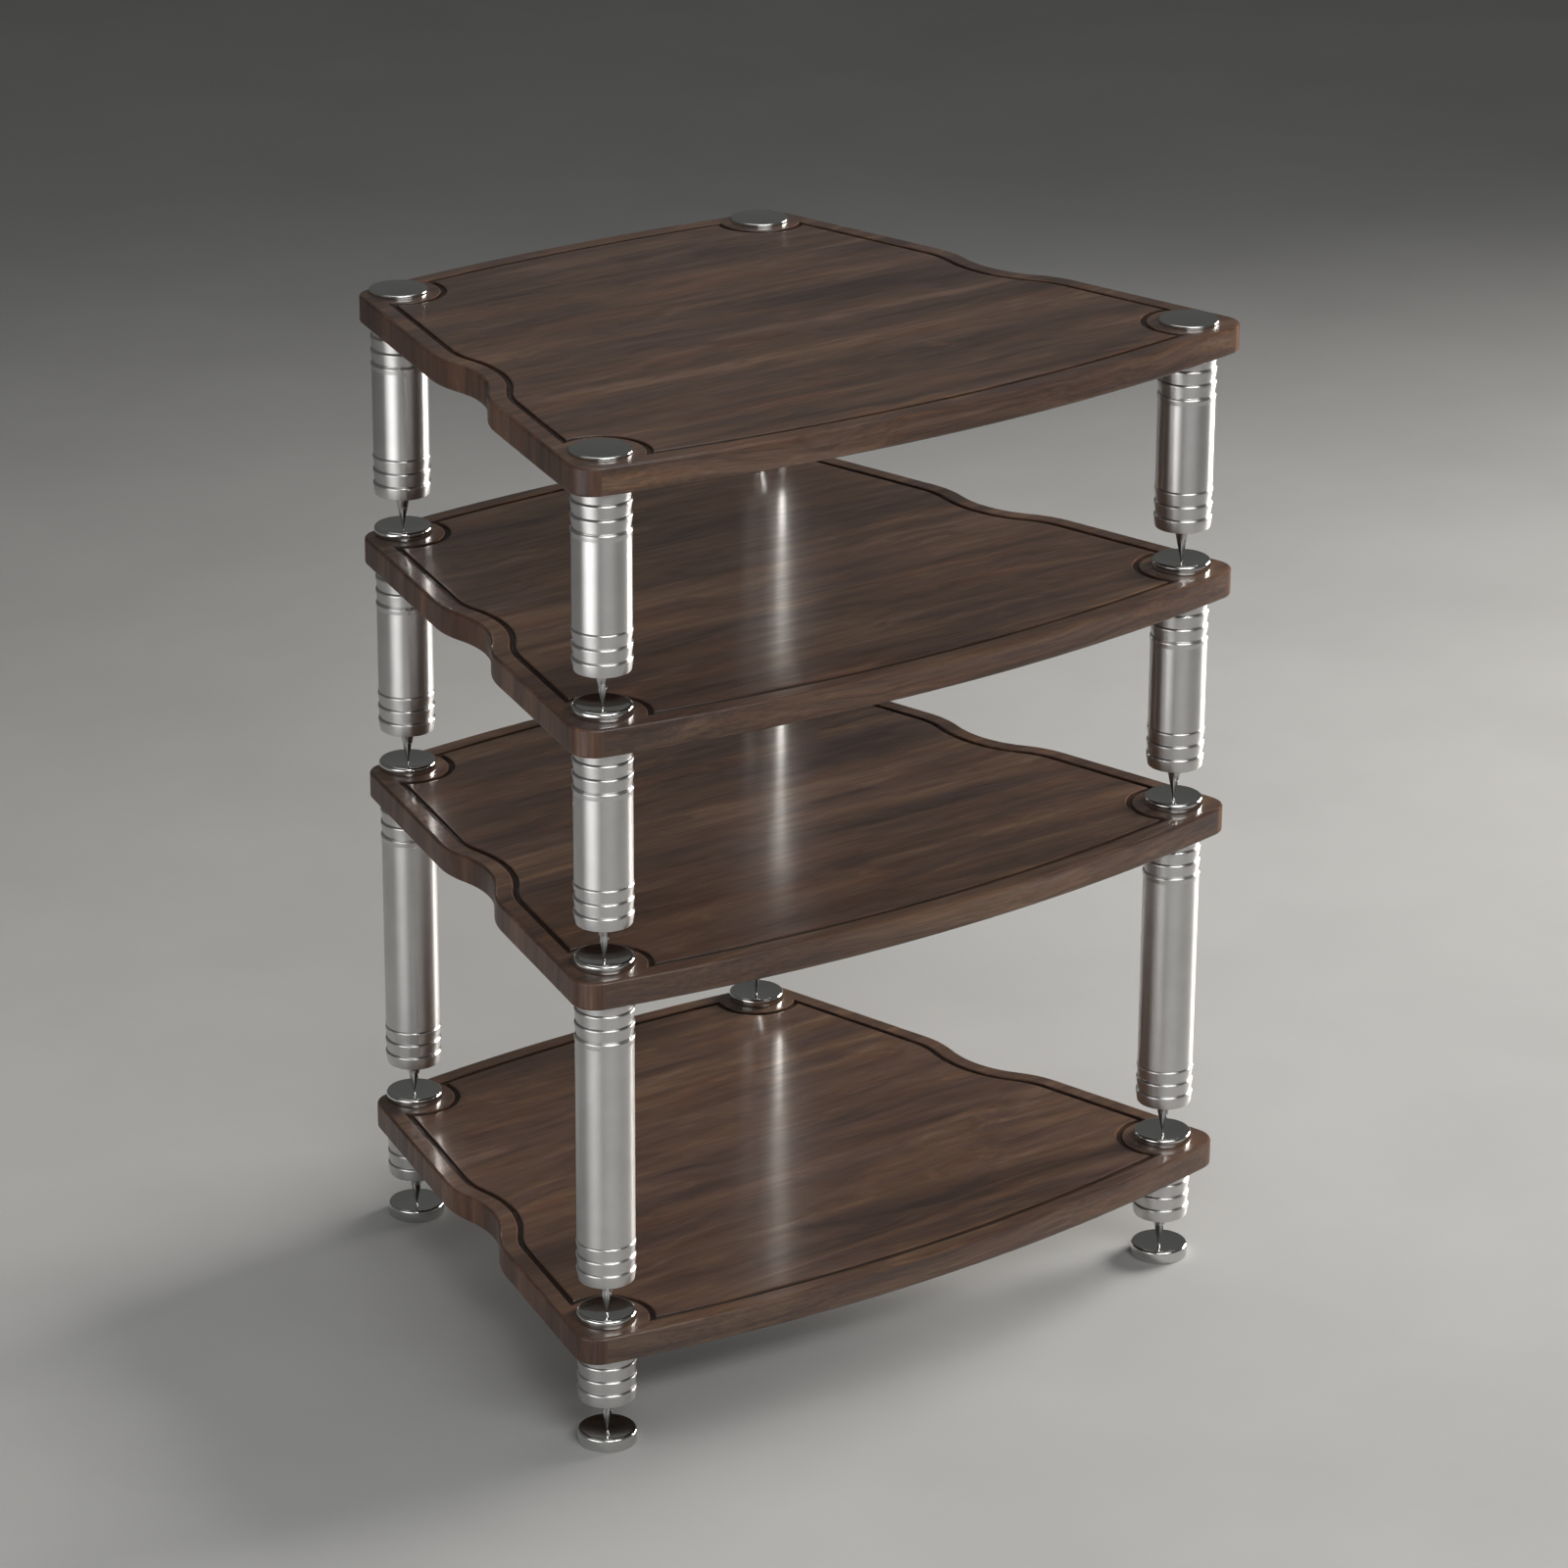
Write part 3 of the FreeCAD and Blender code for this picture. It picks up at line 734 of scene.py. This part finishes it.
class Board:
    """Vertices, faces and material slots of one shelf, gathered loop by loop."""

    def __init__(self, base):
        self.base = base
        self.vertices = []
        self.faces = []
        self.slots = []

    def loop(self, points, height):
        first = len(self.vertices)
        self.vertices += [(p.x * MM, p.y * MM, self.base + height * MM) for p in points]
        return list(range(first, len(self.vertices)))

    def add(self, face, slot=WALNUT_SLOT):
        self.faces.append(face)
        self.slots.append(slot)

    def wall(self, lower, upper, slot=WALNUT_SLOT):
        for index in range(len(lower)):
            after = (index + 1) % len(lower)
            self.add((lower[index], lower[after], upper[after], upper[index]), slot)

    def fill(self, loops, upward):
        """Flat face inside the first loop, less the others."""
        outlines = [[Vector(self.vertices[index]) for index in loop] for loop in loops]
        numbers = [index for loop in loops for index in loop]
        for triangle in tessellate_polygon(outlines):
            corners = [numbers[index] for index in triangle]
            a, b, c = (Vector(self.vertices[index]) for index in corners)
            if ((b - a).cross(c - a).z > 0) != upward:
                corners.reverse()
            self.add(tuple(corners))

    def circle(self, centre, radius, height):
        turns = [2 * math.pi * step / HOLE_STEPS for step in range(HOLE_STEPS)]
        points = [centre + Vector((math.cos(a), math.sin(a))) * radius for a in turns]
        return self.loop(points, height)

    def screw_hole(self, centre):
        """Bore with a wider seat for the screw's head; returns its lowest and highest loops."""
        seat = THICKNESS - HEAD_HOLE_DEPTH
        levels = [self.circle(centre, SCREW_HOLE, height) for height in (0.0, seat)]
        levels += [self.circle(centre, HEAD_HOLE, height) for height in (seat, THICKNESS)]
        for lower, upper in zip(levels, levels[1:]):
            self.wall(upper, lower)
        return levels[0], levels[-1]


def shelf_board(base):
    """One shelf: rounded edge, channel, screw holes, underside, rim and panel."""
    board = Board(base)
    edge = [board.loop(edge_loop(inset), height) for inset, height in edge_section()]
    for lower, upper in zip(edge, edge[1:]):
        board.wall(lower, upper)
    section = channel_section()
    channel = [board.loop(channel_loop(across), height) for across, height in section]
    for index, (outer, inner) in enumerate(zip(channel, channel[1:])):
        highest = max(section[index][1], section[index + 1][1])
        # The channel's walls and floor take the darkened walnut as painted shade in the groove. Its
        # lips stay plain walnut.
        board.wall(outer, inner, PAINTED_SHADE_SLOT if highest < PAINTED_SHADE_BELOW else WALNUT_SLOT)
    posts = (FRONT_POST, mirrored(FRONT_POST), BACK_POST, mirrored(BACK_POST))
    bottoms, tops = zip(*[board.screw_hole(post) for post in posts])
    board.fill([edge[0], *bottoms], upward=False)
    board.fill([edge[-1], channel[0], *tops], upward=True)
    board.fill([channel[-1]], upward=True)
    return board


def shelf(tier):
    node = f"shelf_{tier}"
    board = shelf_board(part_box(node)[0][2])
    mesh = bpy.data.meshes.new(f"board_{node}")
    mesh.from_pydata(board.vertices, [], board.faces)
    mesh.materials.append(WALNUT)
    mesh.materials.append(CHANNEL_SHADE_WALNUT)
    mesh.polygons.foreach_set("material_index", board.slots)
    piece = add_piece(f"board_{node}", mesh)
    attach(piece, CAD[node]["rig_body"])
    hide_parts(node)


for tier in TIERS:
    shelf(tier)
    CAD[f"screws_{tier}"].material_slots[0].material = SCREW_STEEL


# Floor

FLOOR_HALF = 14.0
FLOOR_SIGNS = [(-1, -1), (1, -1), (1, 1), (-1, 1)]

floor_corners = [(x * FLOOR_HALF, y * FLOOR_HALF, 0.0) for x, y in FLOOR_SIGNS]
floor_mesh = bpy.data.meshes.new("studio_floor")
floor_mesh.from_pydata(floor_corners, [], [(0, 1, 2, 3)])
floor_mesh.materials.append(plain_floor())
studio_floor = bpy.data.objects.new("studio_floor", floor_mesh)
bpy.context.scene.collection.objects.link(studio_floor)


# Light: a low key from the right, a low panel on the left for the metal, soft front and top

ROOM_GREY = (0.10, 0.10, 0.098, 1.0)
WARM = (1.0, 0.96, 0.92)
NEUTRAL = (1.0, 1.0, 1.0)
MIDDLE = (0.0, 0.0, 0.45)
KEY_WIDTH = 3.0
KEY_FADE = 0.1
KEY_GRID = math.radians(64.0)


def fade_edges(lamp, edge):
    """Let a soft box grow darker towards its rim, over a share of its width and height."""
    lamp.use_nodes = True
    tree = lamp.node_tree
    across = tree.nodes.new("ShaderNodeSeparateXYZ")
    tree.links.new(tree.nodes.new("ShaderNodeNewGeometry").outputs["Parametric"], across.inputs[0])
    factors = []
    for axis in "XY":
        opposite = tree.nodes.new("ShaderNodeMath")
        opposite.operation = "SUBTRACT"
        opposite.inputs[0].default_value = 1.0
        tree.links.new(across.outputs[axis], opposite.inputs[1])
        nearest = tree.nodes.new("ShaderNodeMath")
        nearest.operation = "MINIMUM"
        tree.links.new(across.outputs[axis], nearest.inputs[0])
        tree.links.new(opposite.outputs[0], nearest.inputs[1])
        rise = tree.nodes.new("ShaderNodeMapRange")
        rise.interpolation_type = "SMOOTHSTEP"
        rise.inputs["From Max"].default_value = edge
        rise.inputs["To Max"].default_value = 1.0 / (1.0 - edge)
        tree.links.new(nearest.outputs[0], rise.inputs["Value"])
        factors.append(rise.outputs["Result"])
    product = tree.nodes.new("ShaderNodeMath")
    product.operation = "MULTIPLY"
    for index, factor in enumerate(factors):
        tree.links.new(factor, product.inputs[index])
    tree.links.new(product.outputs[0], tree.nodes["Emission"].inputs["Strength"])


def panel(name, place, aim, width, height, radiance, edge, tint=NEUTRAL):
    """Soft box of a given mean brightness facing a point."""
    lamp = bpy.data.lights.new(name, "AREA")
    lamp.shape = "RECTANGLE"
    lamp.size = width
    lamp.size_y = height
    lamp.energy = radiance * math.pi * width * height
    lamp.color = tint
    fade_edges(lamp, edge)
    made = bpy.data.objects.new(name, lamp)
    made.location = place
    made.rotation_euler = (Vector(aim) - Vector(place)).to_track_quat("-Z", "Y").to_euler()
    made.visible_camera = False
    bpy.context.scene.collection.objects.link(made)
    return made


# The key is split in two, so that only the turned metal mirrors it and the lacquer shows no glare
key = panel(
    "key_panel",
    place=(5.0, -0.1, 1.35),
    aim=MIDDLE,
    width=KEY_WIDTH,
    height=1.9,
    radiance=7.1,
    edge=KEY_FADE,
    tint=WARM,
)
key.visible_glossy = False
# A grid gathers its light on the rack, which keeps the floor below it from clipping
key.data.spread = KEY_GRID
metal_key = panel(
    "metal_key_panel",
    place=(5.0, -0.1, 1.15),
    aim=MIDDLE,
    width=KEY_WIDTH,
    height=2.2,
    radiance=42.0,
    edge=KEY_FADE,
    tint=WARM,
)
metal_key.visible_diffuse = False
metal_key.light_linking.receiver_collection = METAL_PIECES

LEFT_AIM = (0.0, 0.0, 0.30)
panel("left_panel", (-2.05, -0.50, 0.45), LEFT_AIM, width=2.8, height=1.1, radiance=1.2, edge=0.48)
panel("front_panel", (-0.9, -3.9, 3.0), MIDDLE, width=6.0, height=1.0, radiance=6.6, edge=0.4)
panel("top_panel", (0.0, 0.0, 3.6), MIDDLE, width=4.0, height=4.0, radiance=0.6, edge=0.3)

world = bpy.data.worlds.new("studio")
world.use_nodes = True
world.node_tree.nodes["Background"].inputs["Color"].default_value = ROOM_GREY
bpy.context.scene.world = world
bpy.context.scene.view_settings.view_transform = "Standard"


# Camera: the photograph's angle, from a fit to the shelves' corners and column axes

IMAGE_SIZE = 1600
FOCAL_PIXELS = 5806.0
SENSOR = 36.0
VIEW_DEPTH = 60.0
CAMERA_PLACE = (-2.776, -3.7835, 2.310)
CAMERA_YAW = 36.66
CAMERA_PITCH = 21.49
CAMERA_ROLL = 0.34

camera_data = bpy.data.cameras.new("camera")
camera_data.sensor_width = SENSOR
camera_data.lens = FOCAL_PIXELS / IMAGE_SIZE * SENSOR
camera_data.clip_end = VIEW_DEPTH
camera = bpy.data.objects.new("camera", camera_data)
camera.location = CAMERA_PLACE
tilt = Euler((math.radians(90 - CAMERA_PITCH), 0.0, math.radians(-CAMERA_YAW))).to_matrix()
roll = Euler((0.0, 0.0, math.radians(CAMERA_ROLL))).to_matrix()
camera.rotation_euler = (tilt @ roll).to_euler()
bpy.context.scene.collection.objects.link(camera)
bpy.context.scene.camera = camera
